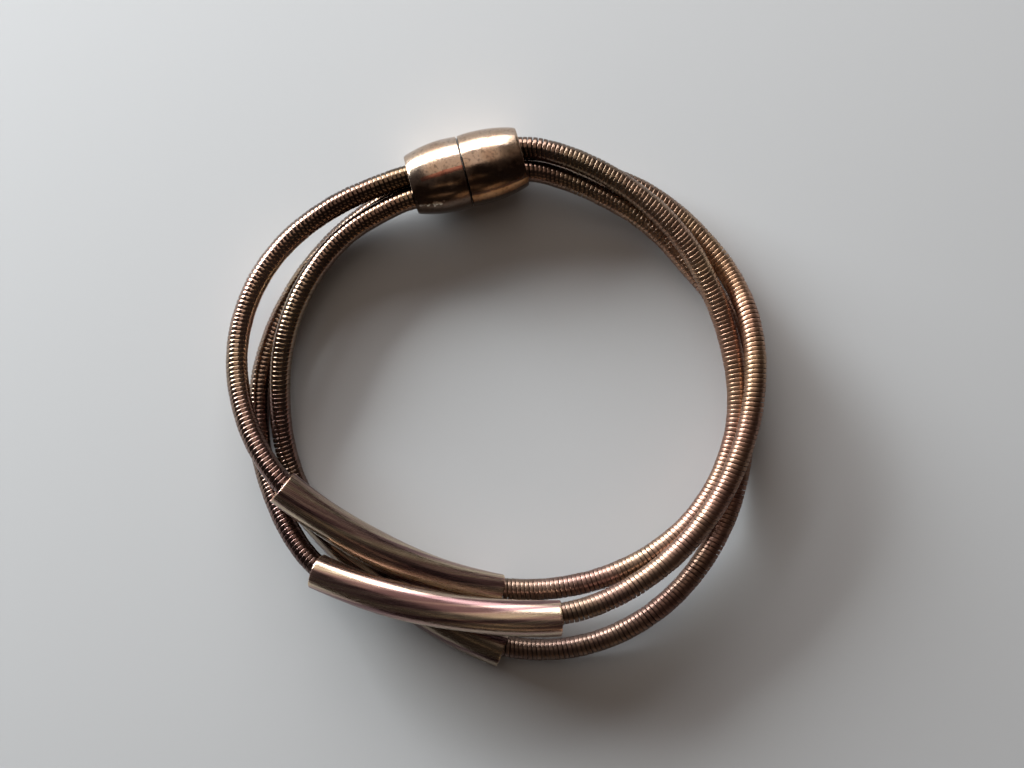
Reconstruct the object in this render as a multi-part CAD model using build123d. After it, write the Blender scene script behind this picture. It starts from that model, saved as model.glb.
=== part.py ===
"""A three-strand bracelet with a two-part barrel clasp, lying flat.

Three strands of close-wound spring wire leave the left half of the clasp, wind over and under each other round
the wrist and end in its right half. Each strand carries one loose, polished tube bead at the front. Millimetres,
+Z up, the origin at the middle of the footprint on the surface that the bracelet lies on, the clasp at +Y.
"""

import os
from math import pi, radians, tan

from build123d import *

# Strands: outer diameter over the winding
STRAND_D = 2.9

# Tube beads
BEAD_D = 5.0
BEAD_WALL = 0.25

# Clasp: its ends' middles, and radii at the rims, the bulge and the parting
CLASP_Z = 4.85
CLASP_LEFT_END = Vector(-11.04, 28.17, CLASP_Z)
CLASP_RIGHT_END = Vector(3.58, 31.94, CLASP_Z)
LEFT_LENGTH = 7.3
RIM_R = 3.9
BULGE_R = 4.8
PARTING_R = 4.72
LEFT_BULGE_AT = 2.6
RIGHT_BULGE_AT = 1.2
PARTING_GAP = 0.2
EDGE_ROUND = 0.18

# Sockets for the strand ends, and the discs that hold the halves together
SOCKET_R = 3.65
SOCKET_DEPTH = 4.9
DISC_R = 3.0
DISC_THICK = 1.3
DISC_INSET = 0.15
DISC_CLEARANCE = 0.1

# Share of the shorter run that each corner's arc takes up
ARC_SHARE = 0.45

# The corners of each strand's route, from the left half of the clasp round the wrist to the right half
ROUTES = {
    # Outside at the left, inside at the front right, on top again at the clasp's right
    "strand_1": [
        (-6.9, 30.55, 5.72), (-10.2, 29.7, 5.72), (-14.0, 28.5, 5.7), (-20.9, 25.75, 5.2), (-27.6, 21.0, 4.3),
        (-32.2, 14.65, 3.8), (-34.4, 6.75, 4.0), (-33.35, -1.15, 5.8), (-30.2, -7.95, 7.8), (-24.85, -13.95, 8.45),
        (-18.1, -18.15, 7.3), (-11.05, -21.5, 5.8), (-3.45, -24.5, 4.3), (4.15, -25.5, 3.4), (12.1, -24.45, 4.0),
        (19.45, -21.55, 4.3), (25.9, -16.6, 4.4), (30.15, -10.05, 4.45), (32.3, -2.35, 4.6), (31.6, 5.75, 4.4),
        (29.1, 13.3, 4.75), (25.45, 20.3, 5.9), (19.9, 26.05, 6.55), (13.1, 30.45, 6.6), (6.5, 32.8, 6.3),
        (2.7, 33.08, 5.75), (-1.3, 32.5, 5.72),
    ],
    # Lowest at the left, over the other two at the front and right, lowest again under the clasp's right
    "strand_2": [
        (-6.5, 29.05, 3.11), (-9.8, 28.25, 3.11), (-13.3, 27.0, 2.7), (-19.65, 22.9, 1.65), (-25.0, 17.15, 1.5),
        (-29.05, 10.25, 1.45), (-31.4, 2.8, 1.45), (-31.7, -5.1, 1.75), (-29.6, -12.0, 4.0), (-26.9, -17.6, 5.6),
        (-23.5, -22.0, 6.45), (-18.2, -24.95, 7.3), (-11.6, -26.45, 8.2), (-4.65, -27.35, 8.6), (3.1, -28.4, 8.5),
        (11.0, -27.75, 7.9), (18.05, -24.65, 7.4), (24.35, -19.8, 7.3), (29.25, -13.5, 7.45), (32.4, -6.6, 7.6),
        (34.15, 1.15, 7.3), (34.0, 9.05, 6.0), (31.7, 16.0, 2.9), (26.9, 22.15, 2.3), (20.7, 27.3, 2.6),
        (13.45, 30.15, 2.65), (6.6, 31.55, 2.55), (3.05, 31.55, 3.05), (-0.95, 31.05, 3.11),
    ],
    # Inside at the left, under the other two at the front, arched up at the front right, lowest at the right
    "strand_3": [
        (-6.15, 27.6, 5.72), (-9.45, 26.75, 5.72), (-13.05, 25.65, 5.55), (-19.9, 21.85, 4.8), (-24.95, 15.6, 4.5),
        (-27.95, 8.1, 4.5), (-28.75, 0.15, 3.1), (-27.9, -7.8, 1.85), (-24.65, -15.0, 2.45), (-19.2, -20.95, 2.65),
        (-12.7, -25.8, 2.55), (-5.8, -30.25, 2.45), (1.5, -33.2, 2.35), (9.6, -33.4, 2.5), (17.25, -30.85, 3.5),
        (23.85, -26.1, 4.0), (28.85, -19.7, 3.6), (32.05, -12.4, 2.4), (33.3, -4.55, 1.45), (33.2, 3.5, 1.45),
        (31.3, 11.45, 1.45), (26.0, 17.6, 2.2), (20.8, 23.2, 3.8), (13.7, 27.3, 4.5), (6.9, 29.8, 5.1),
        (3.45, 30.05, 5.6), (-0.55, 29.55, 5.72),
    ],
}

# Each tube bead bends along a circular arc: its left end, its middle and its right end
BEAD_ARCS = {
    "tube_bead_1": [(-27.7, -11.45, 8.3), (-14.45, -20.1, 6.4), (0.6, -25.55, 3.4)],
    "tube_bead_2": [(-23.4, -22.4, 6.3), (-7.65, -27.2, 8.4), (8.6, -28.55, 8.0)],
    "tube_bead_3": [(-24.4, -14.8, 2.5), (-13.1, -25.5, 2.5), (1.05, -33.35, 2.5)],
}


def corner_radii(points):
    """The largest arcs that the runs on both sides of each corner have room for."""
    radii = []
    for before, corner, after in zip(points, points[1:], points[2:]):
        arriving = corner - before
        leaving = after - corner
        turn = radians(arriving.get_angle(leaving))
        radii.append(ARC_SHARE * min(arriving.length, leaving.length) / tan(turn / 2))
    return radii


def make_strand(name, corners):
    """A round rod of the winding's outer size along straight runs joined by tangent arcs."""
    points = [Vector(*corner) for corner in corners]
    radii = corner_radii(points)
    path = FilletPolyline(*points, radius=radii)
    start = Plane(origin=path @ 0, z_dir=path % 0)
    strand = sweep(start * Circle(STRAND_D / 2), path=path)
    expected = pi * STRAND_D**2 / 4 * path.length
    print(name, "length", round(path.length, 1), "smallest radius", round(min(radii), 1))
    print(name, "volume over section times length", round(strand.volume / expected, 4))
    return strand


def make_bead(ends):
    """A thin-walled tube, open at both ends, bent along an arc."""
    path = ThreePointArc(*[Vector(*end) for end in ends])
    start = Plane(origin=path @ 0, z_dir=path % 0)
    wall = Circle(BEAD_D / 2) - Circle(BEAD_D / 2 - BEAD_WALL)
    return sweep(start * wall, path=path)


def clasp_plane(side):
    """A plane whose X runs along the clasp from the parting to one end, side -1 for left and 1 for right."""
    along = (CLASP_RIGHT_END - CLASP_LEFT_END).normalized()
    parting = CLASP_LEFT_END + along * LEFT_LENGTH
    return Plane(origin=parting, x_dir=along * side, z_dir=(0, 0, 1))


def make_clasp_half(side, length, bulge_at):
    """Half a barrel, bored from its outer end for the strands and from the parting for its disc."""
    inner = PARTING_GAP / 2
    profile = Polyline((length, RIM_R), (length, 0), (inner, 0), (inner, PARTING_R))
    profile += ThreePointArc((inner, PARTING_R), (bulge_at, BULGE_R), (length, RIM_R))
    barrel = revolve(make_face(profile), axis=Axis.X)
    rims = barrel.edges().filter_by(GeomType.CIRCLE).sort_by(Axis.X)
    barrel = fillet([rims[0], rims[-1]], EDGE_ROUND)
    along = Plane.YZ
    socket = along.offset(length - SOCKET_DEPTH) * Circle(SOCKET_R)
    barrel -= extrude(socket, SOCKET_DEPTH + 1)
    recess_depth = DISC_THICK + DISC_INSET + DISC_CLEARANCE
    recess = along.offset(inner + recess_depth) * Circle(DISC_R + DISC_CLEARANCE)
    barrel -= extrude(recess, -recess_depth - 1)
    return clasp_plane(side) * barrel


def make_disc(side):
    """The round disc set into one half's parting face."""
    face = Plane.YZ.offset(PARTING_GAP / 2 + DISC_INSET) * Circle(DISC_R)
    return clasp_plane(side) * extrude(face, DISC_THICK)


def main():
    os.makedirs("parts", exist_ok=True)
    right_length = (CLASP_RIGHT_END - CLASP_LEFT_END).length - LEFT_LENGTH
    parts = {
        "clasp_half_left": make_clasp_half(-1, LEFT_LENGTH, LEFT_BULGE_AT),
        "clasp_half_right": make_clasp_half(1, right_length, RIGHT_BULGE_AT),
        "clasp_disc_left": make_disc(-1),
        "clasp_disc_right": make_disc(1),
    }
    for name, corners in ROUTES.items():
        parts[name] = make_strand(name, corners)
    for name, ends in BEAD_ARCS.items():
        parts[name] = make_bead(ends)
    for name, shape in parts.items():
        export_step(shape, f"parts/{name}.step")
    box = Compound(children=[Part() + shape for shape in parts.values()]).bounding_box()
    print("box", box.min, box.max)


main()
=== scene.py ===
"""The looks of a three-strand bracelet: spring windings, polished tube beads and a worn barrel clasp."""

import math

import bmesh
import bpy
import numpy as np
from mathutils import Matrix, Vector


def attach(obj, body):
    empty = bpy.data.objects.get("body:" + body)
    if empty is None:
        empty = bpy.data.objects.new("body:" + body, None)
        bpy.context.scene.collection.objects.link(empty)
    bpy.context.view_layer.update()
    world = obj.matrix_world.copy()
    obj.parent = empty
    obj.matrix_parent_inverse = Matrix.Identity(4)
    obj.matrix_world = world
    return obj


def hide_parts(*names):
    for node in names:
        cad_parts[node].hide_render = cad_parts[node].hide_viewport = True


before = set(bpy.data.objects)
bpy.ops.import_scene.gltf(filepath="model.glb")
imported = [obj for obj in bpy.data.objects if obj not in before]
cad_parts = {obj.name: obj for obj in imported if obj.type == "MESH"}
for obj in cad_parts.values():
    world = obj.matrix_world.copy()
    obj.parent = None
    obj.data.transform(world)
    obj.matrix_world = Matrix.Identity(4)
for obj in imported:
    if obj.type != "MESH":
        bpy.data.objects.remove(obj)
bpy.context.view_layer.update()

MM = 0.001
FULL_TURN = 2 * math.pi

# The strands' routes, in metres: the corners that the model's rods follow
ROUTES = {
    "strand_1": [
        (-0.0069, 0.03055, 0.00572), (-0.0102, 0.0297, 0.00572), (-0.014, 0.0285, 0.0057),
        (-0.0209, 0.02575, 0.0052), (-0.0276, 0.021, 0.0043), (-0.0322, 0.01465, 0.0038),
        (-0.0344, 0.00675, 0.004), (-0.03335, -0.00115, 0.0058), (-0.0302, -0.00795, 0.0078),
        (-0.02485, -0.01395, 0.00845), (-0.0181, -0.01815, 0.0073), (-0.01105, -0.0215, 0.0058),
        (-0.00345, -0.0245, 0.0043), (0.00415, -0.0255, 0.0034), (0.0121, -0.02445, 0.004),
        (0.01945, -0.02155, 0.0043), (0.0259, -0.0166, 0.0044), (0.03015, -0.01005, 0.00445),
        (0.0323, -0.00235, 0.0046), (0.0316, 0.00575, 0.0044), (0.0291, 0.0133, 0.00475),
        (0.02545, 0.0203, 0.0059), (0.0199, 0.02605, 0.00655), (0.0131, 0.03045, 0.0066),
        (0.0065, 0.0328, 0.0063), (0.0027, 0.03308, 0.00575), (-0.0013, 0.0325, 0.00572),
    ],
    "strand_2": [
        (-0.0065, 0.02905, 0.00311), (-0.0098, 0.02825, 0.00311), (-0.0133, 0.027, 0.0027),
        (-0.01965, 0.0229, 0.00165), (-0.025, 0.01715, 0.0015), (-0.02905, 0.01025, 0.00145),
        (-0.0314, 0.0028, 0.00145), (-0.0317, -0.0051, 0.00175), (-0.0296, -0.012, 0.004),
        (-0.0269, -0.0176, 0.0056), (-0.0235, -0.022, 0.00645), (-0.0182, -0.02495, 0.0073),
        (-0.0116, -0.02645, 0.0082), (-0.00465, -0.02735, 0.0086), (0.0031, -0.0284, 0.0085),
        (0.011, -0.02775, 0.0079), (0.01805, -0.02465, 0.0074), (0.02435, -0.0198, 0.0073),
        (0.02925, -0.0135, 0.00745), (0.0324, -0.0066, 0.0076), (0.03415, 0.00115, 0.0073),
        (0.034, 0.00905, 0.006), (0.0317, 0.016, 0.0029), (0.0269, 0.02215, 0.0023),
        (0.0207, 0.0273, 0.0026), (0.01345, 0.03015, 0.00265), (0.0066, 0.03155, 0.00255),
        (0.00305, 0.03155, 0.00305), (-0.00095, 0.03105, 0.00311),
    ],
    "strand_3": [
        (-0.00615, 0.0276, 0.00572), (-0.00945, 0.02675, 0.00572), (-0.01305, 0.02565, 0.00555),
        (-0.0199, 0.02185, 0.0048), (-0.02495, 0.0156, 0.0045), (-0.02795, 0.0081, 0.0045),
        (-0.02875, 0.00015, 0.0031), (-0.0279, -0.0078, 0.00185), (-0.02465, -0.015, 0.00245),
        (-0.0192, -0.02095, 0.00265), (-0.0127, -0.0258, 0.00255), (-0.0058, -0.03025, 0.00245),
        (0.0015, -0.0332, 0.00235), (0.0096, -0.0334, 0.0025), (0.01725, -0.03085, 0.0035),
        (0.02385, -0.0261, 0.004), (0.02885, -0.0197, 0.0036), (0.03205, -0.0124, 0.0024),
        (0.0333, -0.00455, 0.00145), (0.0332, 0.0035, 0.00145), (0.0313, 0.01145, 0.00145),
        (0.026, 0.0176, 0.0022), (0.0208, 0.0232, 0.0038), (0.0137, 0.0273, 0.0045),
        (0.0069, 0.0298, 0.0051), (0.00345, 0.03005, 0.0056), (-0.00055, 0.02955, 0.00572),
    ],
}
# How many points each run of a route gets, and how near two of them count as one
POINTS_A_RUN = 40
SAME_PLACE = 1e-9

# The winding: flat-topped wire with round shoulders, wound close on a thin core
STRAND_R = 1.45 * MM
WIRE_PITCH = 0.6 * MM
WIRE_FILL = 0.98
CROWN_HEIGHT = 0.11 * MM
CROWN_SQUARENESS = 3.8
CROWN_AT = (-1, -0.96, -0.88, -0.75, -0.45, 0, 0.45, 0.75, 0.88, 0.96, 1)
UNDERSIDE_AT = (0.75, -0.75)
WIRE_DEPTH = 0.16 * MM
STEPS_A_TURN = 20
CORE_R = 1.02 * MM
CORE_SIDES = 12
# Slow waves that make some turns lie closer (in half pitches) or prouder (in metres) than others: each one's
# size, its radians a turn and how many times the strand's phase it starts with
CLOSER_WAVES = ((0.16, 0.37, 1), (0.10, 0.91, 2))
PROUDER_WAVES = ((0.012 * MM, 0.53, 3), (0.012 * MM, 1.31, 1))
FIRST_STRAND_PHASE = 0.4
STRAND_PHASE_STEP = 1.7

# The tube beads: left end, middle and right end of each one's arc, in metres
BEAD_ARCS = {
    "tube_bead_1": [(-0.0277, -0.01145, 0.0083), (-0.01445, -0.0201, 0.0064), (0.0006, -0.02555, 0.0034)],
    "tube_bead_2": [(-0.0234, -0.0224, 0.0063), (-0.00765, -0.0272, 0.0084), (0.0086, -0.02855, 0.008)],
    "tube_bead_3": [(-0.0244, -0.0148, 0.0025), (-0.0131, -0.0255, 0.0025), (0.00105, -0.03335, 0.0025)],
}
BEAD_R = 2.5 * MM
BEAD_WALL = 0.25 * MM
BEAD_ARC_POINTS = 400
BEAD_STATIONS = 140
STATIONS_TO_ONE_INSIDE = 4
BEAD_SIDES = 96
LIP_STEPS = 6
BEAD_PHASE_STEP = 1.3
# Shallow flats, pressed in by bending the tube: how many there are round it, and how deep
WIDE_FLATS = 3
WIDE_FLAT_DEPTH = 0.085 * MM
NARROW_FLATS = 7
NARROW_FLAT_DEPTH = 0.009 * MM
# Two slight waists along each tube
WAISTS = 2
WAIST_PHASE = 0.6
WAIST_DEPTH = 0.04 * MM
# How far the flats and the stains with their painted reflection bands turn round a tube, in radians, and how
# often the stains change along it
STREAK_TWIST = 1.5
STREAK_LENGTHS = 0.45
RIM_WEAR = 0.35 * MM
# The share of its brightness that each tube keeps: painted shade, darkest on the lowest tube, which lies
# under the others
BEAD_PAINTED_SHADE_SHARES = {"tube_bead_1": 0.85, "tube_bead_2": 1.0, "tube_bead_3": 0.45}

# The clasp, as in the model: its ends' middles and its outline
CLASP_LEFT_END = Vector((-0.01104, 0.02817, 0.00485))
CLASP_RIGHT_END = Vector((0.00358, 0.03194, 0.00485))
LEFT_LENGTH = 7.3 * MM
RIM_R = 3.9 * MM
BULGE_R = 4.8 * MM
PARTING_R = 4.72 * MM
LEFT_BULGE_AT = 2.6 * MM
RIGHT_BULGE_AT = 1.2 * MM
PARTING_GAP = 0.2 * MM
SOCKET_R = 3.65 * MM
SOCKET_DEPTH = 4.9 * MM
SOCKET_EDGE = 0.03 * MM
RIM_EDGE = 0.16 * MM
PARTING_EDGE = 0.05 * MM
EDGE_STEPS = 6
# The halves all but touch below the groove that shows between them
GROOVE_DEPTH = 0.25 * MM
TOUCHING_AT = 0.02 * MM
RECESS_R = 3.1 * MM
RECESS_DEPTH = 1.55 * MM
# The last ring at each end of the turned outline, which a flat face closes
CLOSING_R = 0.02 * MM
BARREL_ARC_POINTS = 60
CLASP_SIDES = 144
# Where the clasp's marks lie: shares of the way round towards the wrist and along the half; the copper's
# streak moves round by its slant for each metre along. The left half gets less of the painted shade on the
# wrist side, and the golden stripe is a painted reflection
LESS_SHADE_ON_LEFT_HALF = 0.08
GOLD_REFLECTION_AT = 0.82
GOLD_REFLECTION_WIDTH = 0.09
COPPER_AT = -0.02
COPPER_SLANT = 10
COPPER_WIDTH = 0.07
COPPER_END = 0.8
FLECKS_ALONG = 0.75
FLECKS_LONG = 0.38
FLECKS_AT = 0.72
FLECKS_WIDE = 0.12

# Places become shares across the loop, from 0 at the left or the front to 1 at the right or the back
SHARES_A_METRE = 14.0
LOOP_MIDDLE = 0.5

NOISE_ROUGHNESS = 0.55
BUMP_HEIGHT = 0.03 * MM

# The floor's side in metres, and the dull pale paint on it
FLOOR_SIZE = 3
FLOOR_COLOUR = (0.55, 0.562, 0.575)
FLOOR_ROUGHNESS = 0.8
FLOOR_SHINE = 0.25

# The room: a low window, the walls beside it and warm glows from its far side, as soft flat lights. For each:
# azimuth from +X towards +Y, elevation, distance in metres, breadth and height as angles, radiance and
# colour; all angles are in degrees
PANELS = {
    "window": (140, 14, 0.6, 34, 21, 33.5, (0.93, 0.98, 1.0)),
    "window_end": (103, 17, 0.6, 44, 34, 7.5, (1.0, 0.985, 0.98)),
    "upper_wall": (108, 60, 0.7, 40, 44, 0.7, (1.0, 0.83, 0.7)),
    "side_wall": (55, 40, 0.7, 40, 50, 0.1, (1.0, 0.8, 0.62)),
    "far_strip_high": (272, 60, 0.7, 18, 4, 0.7, (1.0, 0.74, 0.48)),
    "far_strip_low": (272, 27, 0.7, 18, 6, 0.7, (1.0, 0.74, 0.48)),
    "far_shelf": (292, 11, 0.7, 14, 12, 1.0, (1.0, 0.68, 0.4)),
}
ROOM_COLOUR = (0.036, 0.028, 0.025)

# The camera looks straight down, as in the photograph
CAMERA_AT = (0.00225, 0.00199, 0.260)
NEAREST_SEEN = 0.01
FOCAL_PX = 1938
PHOTO_WIDTH_PX = 1024
SENSOR_MM = 36


def smooth_route(name, corners):
    """Points along the NURBS curve that has the route's corners as its control points."""
    curve = bpy.data.curves.new(name + "_route", "CURVE")
    curve.dimensions = "3D"
    spline = curve.splines.new("NURBS")
    spline.points.add(len(corners) - 1)
    for point, corner in zip(spline.points, corners):
        point.co = (*corner, 1)
    spline.order_u = 3
    spline.use_endpoint_u = True
    spline.resolution_u = POINTS_A_RUN
    holder = bpy.data.objects.new(name + "_route", curve)
    bpy.context.scene.collection.objects.link(holder)
    bpy.context.view_layer.update()
    mesh = bpy.data.meshes.new_from_object(holder)
    points = np.array([vertex.co for vertex in mesh.vertices], float)
    bpy.data.objects.remove(holder)
    bpy.data.meshes.remove(mesh)
    moved = np.linalg.norm(np.diff(points, axis=0), axis=1) > SAME_PLACE
    return points[np.concatenate([[True], moved])]


def arc_through(first, middle, last, count):
    """Points along the circular arc through three points."""
    a, b, c = np.array(first), np.array(middle), np.array(last)
    u, v = b - a, c - a
    normal = np.cross(u, v)
    to_centre = np.dot(u, u) * np.cross(v, normal) + np.dot(v, v) * np.cross(normal, u)
    to_centre /= 2 * np.dot(normal, normal)
    centre = a + to_centre
    radius = np.linalg.norm(to_centre)
    x_axis = (a - centre) / radius
    y_axis = np.cross(normal / np.linalg.norm(normal), x_axis)
    sweep = math.atan2(np.dot(c - centre, y_axis), np.dot(c - centre, x_axis)) % FULL_TURN
    t = np.linspace(0, sweep, count)[:, None]
    return centre + radius * (np.cos(t) * x_axis + np.sin(t) * y_axis)


def along_route(points):
    """The distance of each point along the route."""
    steps = np.linalg.norm(np.diff(points, axis=0), axis=1)
    return np.concatenate([[0], np.cumsum(steps)])


def frames_at(points, distances, wanted):
    """Places on the route, with its direction, a level sideways direction and the one square to both."""
    places = np.stack([np.interp(wanted, distances, points[:, i]) for i in range(3)], axis=1)
    slopes = np.gradient(points, distances, axis=0)
    ahead = np.stack([np.interp(wanted, distances, slopes[:, i]) for i in range(3)], axis=1)
    ahead /= np.linalg.norm(ahead, axis=1, keepdims=True)
    side = np.cross((0, 0, 1), ahead)
    side /= np.linalg.norm(side, axis=1, keepdims=True)
    return places, ahead, side, np.cross(ahead, side)


def angles_round(sides):
    """Equal steps once round a circle, in radians."""
    return np.arange(sides) * FULL_TURN / sides


def rings_round(places, side, up, around, radius):
    """Points on a ring round each place, at angles from its sideways to its upward direction."""
    sideways = np.cos(around)[None, :, None] * side[:, None, :]
    upward = np.sin(around)[None, :, None] * up[:, None, :]
    return (places[:, None, :] + radius * (sideways + upward)).reshape(-1, 3)


def grid_faces(rings, across, closed):
    """Quads between neighbouring rings of points; if closed, the last ring is joined to the first."""
    start = np.arange(rings if closed else rings - 1)[:, None] * across
    here = np.arange(across)[None, :]
    after = (here + 1) % across
    above = (start + across) % (rings * across)
    quads = np.stack([start + here, start + after, above + after, above + here], axis=-1)
    return quads.reshape(-1, 4)


def capped_faces(rings, across, first=0):
    """Quads between neighbouring rings and a face over each end; the first point has the number first."""
    faces = (grid_faces(rings, across, closed=False) + first).tolist()
    last_ring = first + (rings - 1) * across
    faces.append(list(range(first, first + across))[::-1])
    faces.append(list(range(last_ring, last_ring + across)))
    return faces


def new_piece(name, points, faces, replaced):
    """A smooth-shaded piece on the only body, which stands for one node of the model."""
    mesh = bpy.data.meshes.new(name)
    mesh.from_pydata(points.tolist(), [], faces)
    mesh.polygons.foreach_set("use_smooth", [True] * len(mesh.polygons))
    shell = bmesh.new()
    shell.from_mesh(mesh)
    bmesh.ops.recalc_face_normals(shell, faces=shell.faces)
    shell.to_mesh(mesh)
    shell.free()
    piece = bpy.data.objects.new(name, mesh)
    bpy.context.scene.collection.objects.link(piece)
    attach(piece, "root")
    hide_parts(replaced)
    return piece


def keep_values(piece, name, values):
    """Keeps a number or a vector for each point, which the material reads."""
    if values.ndim == 1:
        attribute = piece.data.attributes.new(name, "FLOAT", "POINT")
        attribute.data.foreach_set("value", values.astype(np.float32))
    else:
        attribute = piece.data.attributes.new(name, "FLOAT_VECTOR", "POINT")
        attribute.data.foreach_set("vector", values.astype(np.float32).ravel())


def bell(values, middle, width):
    """1 at the middle, falling smoothly to nothing on both sides."""
    return np.exp(-(((values - middle) / width) ** 2))


def wave_sum(turn, phase, waves):
    """The sum of slow waves along the winding."""
    return sum(size * np.sin(turn * pace + times * phase) for size, pace, times in waves)


def wire_section():
    """The wire's section: places across it and heights over its shoulders, the crown first."""
    crown = np.array(CROWN_AT)
    rise = (1 - np.abs(crown) ** CROWN_SQUARENESS) ** (1 / CROWN_SQUARENESS)
    half_width = WIRE_PITCH * WIRE_FILL / 2
    across = np.concatenate([crown, UNDERSIDE_AT]) * half_width
    height = np.concatenate([rise * CROWN_HEIGHT, np.full(len(UNDERSIDE_AT), -WIRE_DEPTH)])
    return across, height


def wound_strand(name, corners, phase, metal):
    """A flat-topped wire wound close on a thin core along the route."""
    points = smooth_route(name, corners)
    distances = along_route(points)
    turns = int(distances[-1] / WIRE_PITCH) - 1
    steps = turns * STEPS_A_TURN
    turn = np.arange(steps) / STEPS_A_TURN
    wanted = (turn + 0.5 + 0.5 * wave_sum(turn, phase, CLOSER_WAVES)) * WIRE_PITCH
    places, ahead, side, up = frames_at(points, distances, wanted)
    angle = FULL_TURN * turn + phase
    outward = np.cos(angle)[:, None] * side + np.sin(angle)[:, None] * up
    proud = wave_sum(turn, phase, PROUDER_WAVES)
    across, height = wire_section()
    radius = STRAND_R - CROWN_HEIGHT + height[None, :] + proud[:, None]
    wire = (
        places[:, None, :]
        + outward[:, None, :] * radius[..., None]
        + ahead[:, None, :] * across[None, :, None]
    ).reshape(-1, 3)

    # The core has a ring for every two turns
    stations = np.linspace(WIRE_PITCH, distances[-1] - WIRE_PITCH, turns // 2)
    core_places, _, core_side, core_up = frames_at(points, distances, stations)
    core = rings_round(core_places, core_side, core_up, angles_round(CORE_SIDES), CORE_R)
    faces = capped_faces(steps, len(across))
    faces += capped_faces(len(stations), CORE_SIDES, first=len(wire))
    piece = new_piece(name + "_winding", np.concatenate([wire, core]), faces, name)
    crown = np.tile(np.clip(height / CROWN_HEIGHT, 0, 1), steps)
    core_zeros = np.zeros(len(core))
    keep_values(piece, "crown", np.concatenate([crown, core_zeros]))
    keep_values(piece, "turn", np.concatenate([np.repeat(turn, len(across)), core_zeros]))
    piece.data.materials.append(metal)


def lip(outer, inner):
    """Half a circle between two radii: how far each step stands out, and its radius."""
    angle = np.linspace(0, math.pi, LIP_STEPS + 2)[1:-1]
    middle, half = (outer + inner) / 2, (outer - inner) / 2
    return half * np.sin(angle), middle + half * np.cos(angle)


def tube_bead(name, ends, phase, metal):
    """A bent tube with rounded rims, a hair out of round where it was bent."""
    points = arc_through(*ends, BEAD_ARC_POINTS)
    distances = along_route(points)
    length = distances[-1]
    inner_r = BEAD_R - BEAD_WALL
    stand, lip_r = lip(BEAD_R, inner_r)
    reach = BEAD_WALL / 2
    outside = np.linspace(reach, length - reach, BEAD_STATIONS)
    inside = outside[::-STATIONS_TO_ONE_INSIDE]
    along = np.concatenate([outside, length - reach + stand, inside, reach - stand])
    outer_radii = np.full(len(outside), BEAD_R)
    inner_radii = np.full(len(inside), inner_r)
    radius = np.concatenate([outer_radii, lip_r, inner_radii, lip_r[::-1]])
    places, _, side, up = frames_at(points, distances, along)

    # The flats turn a little round the tube on their way along it
    around = angles_round(BEAD_SIDES)
    share = along[:, None] / length
    turned = around[None, :] + STREAK_TWIST * share
    wide_flats = np.cos(WIDE_FLATS * turned + 2 * phase) - 1
    narrow_flats = np.cos(NARROW_FLATS * turned + phase) - 1
    waist = np.cos(WAISTS * FULL_TURN * share + WAIST_PHASE + phase) - 1
    shallow = WIDE_FLAT_DEPTH * wide_flats + NARROW_FLAT_DEPTH * narrow_flats + WAIST_DEPTH * waist
    r = radius[:, None] + shallow
    rings = rings_round(places, side, up, around, r[..., None])
    faces = grid_faces(len(along), BEAD_SIDES, closed=True).tolist()
    piece = new_piece(name + "_shell", rings, faces, name)
    length_share = np.broadcast_to(STREAK_LENGTHS * share + phase, turned.shape)
    streak = np.stack([np.cos(turned), np.sin(turned), length_share], axis=-1)
    keep_values(piece, "streak", streak.reshape(-1, 3))
    to_rim = np.minimum(along, length - along)
    keep_values(piece, "rim", np.repeat(np.exp(-to_rim / RIM_WEAR), BEAD_SIDES))
    keep_values(piece, "painted_shade_share", np.full(len(rings), BEAD_PAINTED_SHADE_SHARES[name]))
    piece.data.materials.append(metal)


def clasp_outline(length, bulge_at):
    """One half's turned outline: places along it, radii, and 1 for those that are hidden, which get painted
    shade.
    """
    face_at = PARTING_GAP / 2
    recess_at = face_at + RECESS_DEPTH
    groove_r = PARTING_R - GROOVE_DEPTH
    floor_at = length - SOCKET_DEPTH
    inside = [(recess_at, CLOSING_R), (recess_at, RECESS_R), (TOUCHING_AT, RECESS_R)]
    inside += [(TOUCHING_AT, groove_r), (face_at, groove_r)]
    # Quarter circles soften the edges at the parting and at the rim
    quarter = np.linspace(0, math.pi / 2, EDGE_STEPS)
    outside = [
        (face_at + PARTING_EDGE * (1 - math.cos(a)), PARTING_R - PARTING_EDGE * (1 - math.sin(a)))
        for a in quarter
    ]
    arc = arc_through((face_at, PARTING_R, 0), (bulge_at, BULGE_R, 0), (length, RIM_R, 0), BARREL_ARC_POINTS)
    outside += [(x, r) for x, r, _ in arc if face_at + PARTING_EDGE < x < length - RIM_EDGE]
    outside += [
        (length - RIM_EDGE * (1 - math.sin(a)), RIM_R - RIM_EDGE * (1 - math.cos(a)))
        for a in quarter
    ]
    socket = [(length, SOCKET_R + SOCKET_EDGE), (length - SOCKET_EDGE, SOCKET_R)]
    socket += [(floor_at, SOCKET_R), (floor_at, CLOSING_R)]
    x, r = np.array(inside + outside + socket).T
    hidden = [1] * (len(inside) + 1) + [0] * (len(outside) - 1) + [1] * len(socket)
    return x, r, np.array(hidden)


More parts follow.
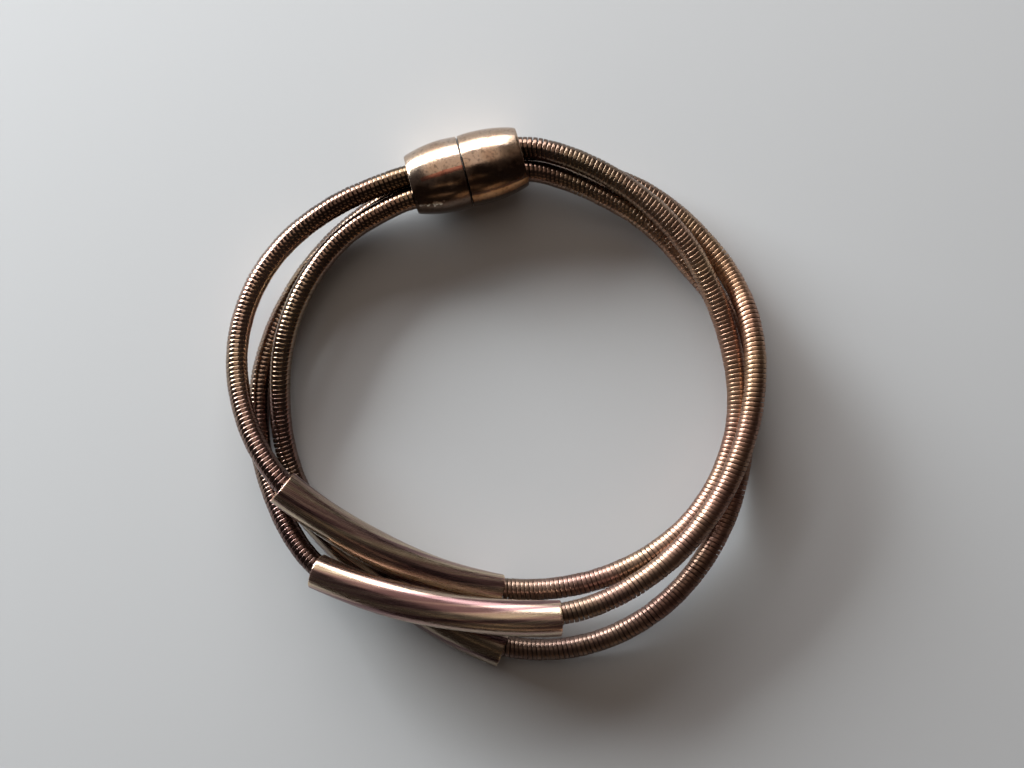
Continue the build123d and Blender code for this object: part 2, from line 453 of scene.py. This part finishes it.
def keep_clasp_marks(piece, side, x, length, inward):
    """Keeps where half of the clasp gets painted shade and a painted golden reflection, and where it is
    coppery and flecked.
    """
    is_left, is_right = side < 0, side > 0
    along_share = x / length
    # The left half gets less of the painted shade on the wrist side
    less_shade = LESS_SHADE_ON_LEFT_HALF if is_left else 0
    keep_values(piece, "inward", np.tile(inward - less_shade, len(x)))
    # A painted golden reflection: a stripe low down on the right half
    keep_values(piece, "painted_gold_reflection", np.tile(bell(inward, GOLD_REFLECTION_AT, GOLD_REFLECTION_WIDTH) * is_right, len(x)))
    # A streak rubbed down to the copper, only on the left half, a little past the top
    copper = bell(inward[None, :] - COPPER_SLANT * x[:, None], COPPER_AT, COPPER_WIDTH)
    short_of_rim = along_share[:, None] < COPPER_END
    keep_values(piece, "copper", (copper * short_of_rim * is_left).ravel())
    # Pale flecks low down near the same half's rim
    near_rim = bell(along_share, FLECKS_ALONG, FLECKS_LONG)
    low_down = bell(inward, FLECKS_AT, FLECKS_WIDE)
    keep_values(piece, "flecks", (near_rim[:, None] * low_down[None, :] * is_left).ravel())


def clasp_half(name, side, length, bulge_at, metal):
    """Half of the barrel as a turned, bored shell; side is -1 for the left half and 1 for the right."""
    along = (CLASP_RIGHT_END - CLASP_LEFT_END).normalized()
    parting = np.array(CLASP_LEFT_END + along * LEFT_LENGTH)
    axis = np.array(along) * side
    across = np.cross((0, 0, 1), axis)
    up = np.cross(axis, across)
    x, r, hidden = clasp_outline(length, bulge_at)
    around = angles_round(CLASP_SIDES)
    places = parting + x[:, None] * axis
    points = rings_round(places, across[None, :], up[None, :], around, r[:, None, None])
    faces = capped_faces(len(x), CLASP_SIDES)
    piece = new_piece(name + "_shell", points, faces, name)
    keep_values(piece, "painted_recess_shade", np.repeat(hidden, CLASP_SIDES))
    # How far round towards the inside of the loop each point lies, from -1 to 1
    inward = -(np.cos(around) * across[1] + np.sin(around) * up[1])
    keep_clasp_marks(piece, side, x, length, inward)
    piece.data.materials.append(metal)


def new_material(name, metallic):
    """A material, its node tree and its surface shader."""
    material = bpy.data.materials.new(name)
    material.use_nodes = True
    tree = material.node_tree
    surface = tree.nodes["Principled BSDF"]
    surface.inputs["Metallic"].default_value = metallic
    return material, tree, surface


def own_place(tree):
    """The place in the object's own coordinates."""
    return tree.nodes.new("ShaderNodeTexCoord").outputs["Object"]


def noise(tree, place, scale, detail):
    """Noise over a place or another vector."""
    texture = tree.nodes.new("ShaderNodeTexNoise")
    texture.inputs["Scale"].default_value = scale
    texture.inputs["Detail"].default_value = detail
    texture.inputs["Roughness"].default_value = NOISE_ROUGHNESS
    tree.links.new(place, texture.inputs["Vector"])
    return texture.outputs["Fac"]


def noise_along(tree, number, scale, detail):
    """Noise over one number."""
    texture = tree.nodes.new("ShaderNodeTexNoise")
    texture.noise_dimensions = "1D"
    texture.inputs["Scale"].default_value = scale
    texture.inputs["Detail"].default_value = detail
    tree.links.new(number, texture.inputs["W"])
    return texture.outputs["Fac"]


def kept_value(tree, name, output="Fac"):
    """A value that the mesh keeps for each of its points."""
    attribute = tree.nodes.new("ShaderNodeAttribute")
    attribute.attribute_name = name
    return attribute.outputs[output]


def blend(tree, first, second, kind):
    """Two colours blended in full."""
    mix = tree.nodes.new("ShaderNodeMix")
    mix.data_type = "RGBA"
    mix.blend_type = kind
    mix.inputs["Factor"].default_value = 1
    tree.links.new(first, mix.inputs["A"])
    tree.links.new(second, mix.inputs["B"])
    return mix.outputs["Result"]


def product(tree, first, second):
    """The product of two colours."""
    return blend(tree, first, second, "MULTIPLY")


def scaled_sum(tree, number, scale, addend):
    """A number times a plain scale, and added to that a plain number or another output."""
    node = tree.nodes.new("ShaderNodeMath")
    node.operation = "MULTIPLY_ADD"
    tree.links.new(number, node.inputs[0])
    node.inputs[1].default_value = scale
    if isinstance(addend, float):
        node.inputs[2].default_value = addend
    else:
        tree.links.new(addend, node.inputs[2])
    return node.outputs["Value"]


def colour_ramp(tree, factor, stops):
    """A colour ramp over a factor, from (position, colour) stops."""
    ramp = tree.nodes.new("ShaderNodeValToRGB")
    elements = ramp.color_ramp.elements
    while len(elements) < len(stops):
        elements.new(0.5)
    for element, (position, colour) in zip(elements, stops):
        element.position = position
        element.color = (*colour, 1)
    tree.links.new(factor, ramp.inputs["Fac"])
    return ramp.outputs["Color"]


def grey_ramp(tree, factor, stops):
    """A ramp of greys over a factor, from (position, grey) stops."""
    return colour_ramp(tree, factor, [(position, (grey,) * 3) for position, grey in stops])


def add_bump(tree, surface, height, strength):
    """Bends the surface's light by a fine relief."""
    bump = tree.nodes.new("ShaderNodeBump")
    bump.inputs["Strength"].default_value = strength
    bump.inputs["Distance"].default_value = BUMP_HEIGHT
    tree.links.new(height, bump.inputs["Height"])
    tree.links.new(bump.outputs["Normal"], surface.inputs["Normal"])


def make_wire_metal():
    """Rose-bronze wire: rosier or yellower from place to place and turn to turn, with painted shade in its
    grooves and painted light and shade by its place round the loop.
    """
    material, tree, surface = new_material("wire_metal", metallic=1)
    place = own_place(tree)
    # Dark rose, rose and yellowish patches
    body = colour_ramp(tree, noise(tree, place, scale=70, detail=2), [
        (0.36, (0.29, 0.18, 0.135)),
        (0.5, (0.34, 0.23, 0.17)),
        (0.64, (0.36, 0.27, 0.175)),
    ])
    each_turn = noise_along(tree, kept_value(tree, "turn"), scale=0.9, detail=2)
    shaded = product(tree, body, grey_ramp(tree, each_turn, [(0.3, 0.82), (0.72, 1.1)]))
    # Painted light and shade by place round the loop: darker at the front, near the clasp and on the left,
    # brighter towards the back right; the right is also tinted rosier
    axes = tree.nodes.new("ShaderNodeSeparateXYZ")
    tree.links.new(place, axes.inputs["Vector"])
    rightwards = scaled_sum(tree, axes.outputs["X"], SHARES_A_METRE, LOOP_MIDDLE)
    backwards = scaled_sum(tree, axes.outputs["Y"], SHARES_A_METRE, LOOP_MIDDLE)
    painted_light_left_to_right = colour_ramp(tree, rightwards, [
        (0.05, (0.98, 1.0, 1.12)),
        (0.19, (0.46, 0.46, 0.5)),
        (0.33, (0.6, 0.56, 0.55)),
        (0.6, (0.88, 0.88, 0.93)),
        (0.8, (1.1, 1.08, 1.08)),
        (0.95, (1.02, 0.91, 0.88)),
    ])
    painted_light_front_to_back = colour_ramp(tree, backwards, [
        (0.05, (0.58, 0.55, 0.6)),
        (0.3, (0.88, 0.8, 0.86)),
        (0.5, (0.9, 0.83, 0.85)),
        (0.74, (1.4, 1.38, 1.3)),
        (0.93, (0.62, 0.62, 0.6)),
    ])
    wire_with_painted_light = product(tree, shaded, product(tree, painted_light_left_to_right, painted_light_front_to_back))
    # The grooves between turns and the wire's underside are darkened almost to black: painted shade
    groove_shade = colour_ramp(tree, kept_value(tree, "crown"), [
        (0.0, (0.02, 0.014, 0.012)),
        (0.4, (0.3, 0.23, 0.2)),
        (0.8, (1, 1, 1)),
    ])
    tree.links.new(product(tree, wire_with_painted_light, groove_shade), surface.inputs["Base Color"])
    # Rougher towards the right and smoother towards the back
    fine = noise(tree, place, scale=2500, detail=2)
    rough = grey_ramp(tree, fine, [(0.3, 0.2), (0.75, 0.3)])
    rougher = scaled_sum(tree, rightwards, 0.2, rough)
    smoother = scaled_sum(tree, backwards, -0.15, rougher)
    tree.links.new(smoother, surface.inputs["Roughness"])
    add_bump(tree, surface, fine, strength=0.12)
    return material


def make_tube_metal():
    """Thin polished plating with long stains, which also paint its reflection bands, and fine scratches that
    run along the tube, worn at its rims; each tube keeps its own share of painted shade.
    """
    material, tree, surface = new_material("tube_metal", metallic=1)
    streak = kept_value(tree, "streak", output="Vector")
    # Dark purple, rosy, bronze, golden and brown stains, which also paint the tube's reflection bands
    stains_and_painted_bands = colour_ramp(tree, noise(tree, streak, scale=2.3, detail=1.5), [
        (0.37, (0.22, 0.13, 0.13)),
        (0.45, (0.46, 0.31, 0.27)),
        (0.54, (0.54, 0.42, 0.32)),
        (0.6, (0.72, 0.59, 0.43)),
        (0.68, (0.4, 0.27, 0.22)),
    ])
    worn_rim = colour_ramp(tree, kept_value(tree, "rim"), [(0.0, (1, 1, 1)), (1.0, (1.35, 1.3, 1.2))])
    # Each tube is darkened by its share of painted shade
    stained_and_shaded = product(tree, product(tree, stains_and_painted_bands, worn_rim), kept_value(tree, "painted_shade_share"))
    tree.links.new(stained_and_shaded, surface.inputs["Base Color"])
    scratches = noise(tree, streak, scale=26, detail=3)
    rough = grey_ramp(tree, scratches, [(0.35, 0.22), (0.7, 0.34)])
    tree.links.new(rough, surface.inputs["Roughness"])
    add_bump(tree, surface, scratches, strength=0.06)
    return material


def make_clasp_metal():
    """Cast plating: mottled and pitted like grained skin, with painted shade on the side that faces the wrist
    and in its recesses, and a painted golden reflection low on the right half.
    """
    material, tree, surface = new_material("clasp_metal", metallic=1)
    place = own_place(tree)
    mottle = noise(tree, place, scale=300, detail=2)
    body = colour_ramp(tree, mottle, [
        (0.33, (0.4, 0.27, 0.19)),
        (0.45, (0.47, 0.34, 0.245)),
        (0.62, (0.53, 0.41, 0.325)),
    ])
    grain = noise(tree, place, scale=2600, detail=3)
    speckled = product(tree, body, grey_ramp(tree, grain, [(0.34, 0.6), (0.46, 1.0)]))
    ragged = noise(tree, place, scale=420, detail=5)
    patchy = scaled_sum(tree, ragged, 0.9, kept_value(tree, "copper"))
    bared = colour_ramp(tree, patchy, [(0.9, (1, 1, 1)), (1.0, (1.05, 0.62, 0.58))])
    coppery = product(tree, speckled, bared)
    # Painted shade on the side that faces the wrist, ragged at its edge
    reach = scaled_sum(tree, ragged, 1.5, kept_value(tree, "inward"))
    painted_side_shade = colour_ramp(tree, reach, [
        (0.72, (1, 1, 1)),
        (0.96, (0.42, 0.37, 0.35)),
        (1.0, (0.27, 0.24, 0.23)),
    ])
    # A grainy golden stripe low on the right half: painted reflection
    shining = scaled_sum(tree, grain, 0.7, kept_value(tree, "painted_gold_reflection"))
    golden = colour_ramp(tree, shining, [(0.75, (1, 1, 1)), (1.0, (3.2, 2.5, 1.6))])
    clasp_with_painted_light = product(tree, coppery, product(tree, painted_side_shade, golden))
    fleck_shape = noise(tree, place, scale=1500, detail=2)
    flecked = scaled_sum(tree, kept_value(tree, "flecks"), 0.35, fleck_shape)
    pale = colour_ramp(tree, flecked, [(0.81, (0, 0, 0)), (0.85, (0.5, 0.45, 0.36))])
    marked = blend(tree, clasp_with_painted_light, pale, "ADD")
    # The recesses and the faces at the parting are painted almost black: painted shade
    recess_shade = grey_ramp(tree, kept_value(tree, "painted_recess_shade"), [(0.1, 1.0), (0.9, 0.02)])
    tree.links.new(product(tree, marked, recess_shade), surface.inputs["Base Color"])
    rough = grey_ramp(tree, mottle, [(0.35, 0.24), (0.7, 0.14)])
    tree.links.new(rough, surface.inputs["Roughness"])
    add_bump(tree, surface, grain, strength=0.2)
    return material


def make_disc_metal():
    """Plain pale plating, a little uneven."""
    material, tree, surface = new_material("disc_metal", metallic=1)
    surface.inputs["Base Color"].default_value = (0.6, 0.6, 0.61, 1)
    fine = noise(tree, own_place(tree), scale=2200, detail=3)
    rough = grey_ramp(tree, fine, [(0.3, 0.25), (0.8, 0.5)])
    tree.links.new(rough, surface.inputs["Roughness"])
    add_bump(tree, surface, fine, strength=0.1)
    return material


def make_floor():
    """The pale painted surface that the bracelet lies on."""
    bpy.ops.mesh.primitive_plane_add(size=FLOOR_SIZE, location=(0, 0, 0))
    floor = bpy.context.object
    floor.name = "floor"
    material, _, surface = new_material("floor_paint", metallic=0)
    surface.inputs["Base Color"].default_value = (*FLOOR_COLOUR, 1)
    surface.inputs["Roughness"].default_value = FLOOR_ROUGHNESS
    surface.inputs["Specular IOR Level"].default_value = FLOOR_SHINE
    floor.data.materials.append(material)


def panel(name, azimuth, elevation, distance, wide, high, radiance, colour):
    """A flat soft light that faces the bracelet."""
    turn, rise = math.radians(azimuth), math.radians(elevation)
    light = bpy.data.lights.new(name, "AREA")
    light.shape = "RECTANGLE"
    light.size = 2 * distance * math.tan(math.radians(wide) / 2)
    light.size_y = 2 * distance * math.tan(math.radians(high) / 2)
    light.energy = radiance * math.pi * light.size * light.size_y
    light.color = colour
    holder = bpy.data.objects.new(name, light)
    level = distance * math.cos(rise)
    holder.location = (level * math.cos(turn), level * math.sin(turn), distance * math.sin(rise))
    holder.rotation_euler = (math.pi / 2 - rise, 0, turn + math.pi / 2)
    bpy.context.scene.collection.objects.link(holder)


def make_lights():
    """The room's panels, in an otherwise dim, warm room."""
    for name, values in PANELS.items():
        panel(name, *values)
    world = bpy.data.worlds.new("room")
    bpy.context.scene.world = world
    world.use_nodes = True
    background = world.node_tree.nodes["Background"]
    background.inputs["Color"].default_value = (*ROOM_COLOUR, 1)
    background.inputs["Strength"].default_value = 1


def make_camera():
    """The photograph's camera."""
    camera = bpy.data.cameras.new("camera")
    camera.sensor_width = SENSOR_MM
    camera.lens = FOCAL_PX * SENSOR_MM / PHOTO_WIDTH_PX
    camera.clip_start = NEAREST_SEEN
    holder = bpy.data.objects.new("camera", camera)
    holder.location = CAMERA_AT
    bpy.context.scene.collection.objects.link(holder)
    bpy.context.scene.camera = holder


bpy.context.scene.view_settings.view_transform = "Standard"
make_camera()
make_lights()
make_floor()

wire_metal = make_wire_metal()
tube_metal = make_tube_metal()
clasp_metal = make_clasp_metal()
disc_metal = make_disc_metal()

for number, (name, corners) in enumerate(ROUTES.items()):
    wound_strand(name, corners, FIRST_STRAND_PHASE + number * STRAND_PHASE_STEP, wire_metal)
for number, (name, ends) in enumerate(BEAD_ARCS.items()):
    tube_bead(name, ends, number * BEAD_PHASE_STEP, tube_metal)
right_length = (CLASP_RIGHT_END - CLASP_LEFT_END).length - LEFT_LENGTH
clasp_half("clasp_half_left", -1, LEFT_LENGTH, LEFT_BULGE_AT, clasp_metal)
clasp_half("clasp_half_right", 1, right_length, RIGHT_BULGE_AT, clasp_metal)
for name in ("clasp_disc_left", "clasp_disc_right"):
    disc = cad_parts[name]
    disc.data.materials.clear()
    disc.data.materials.append(disc_metal)
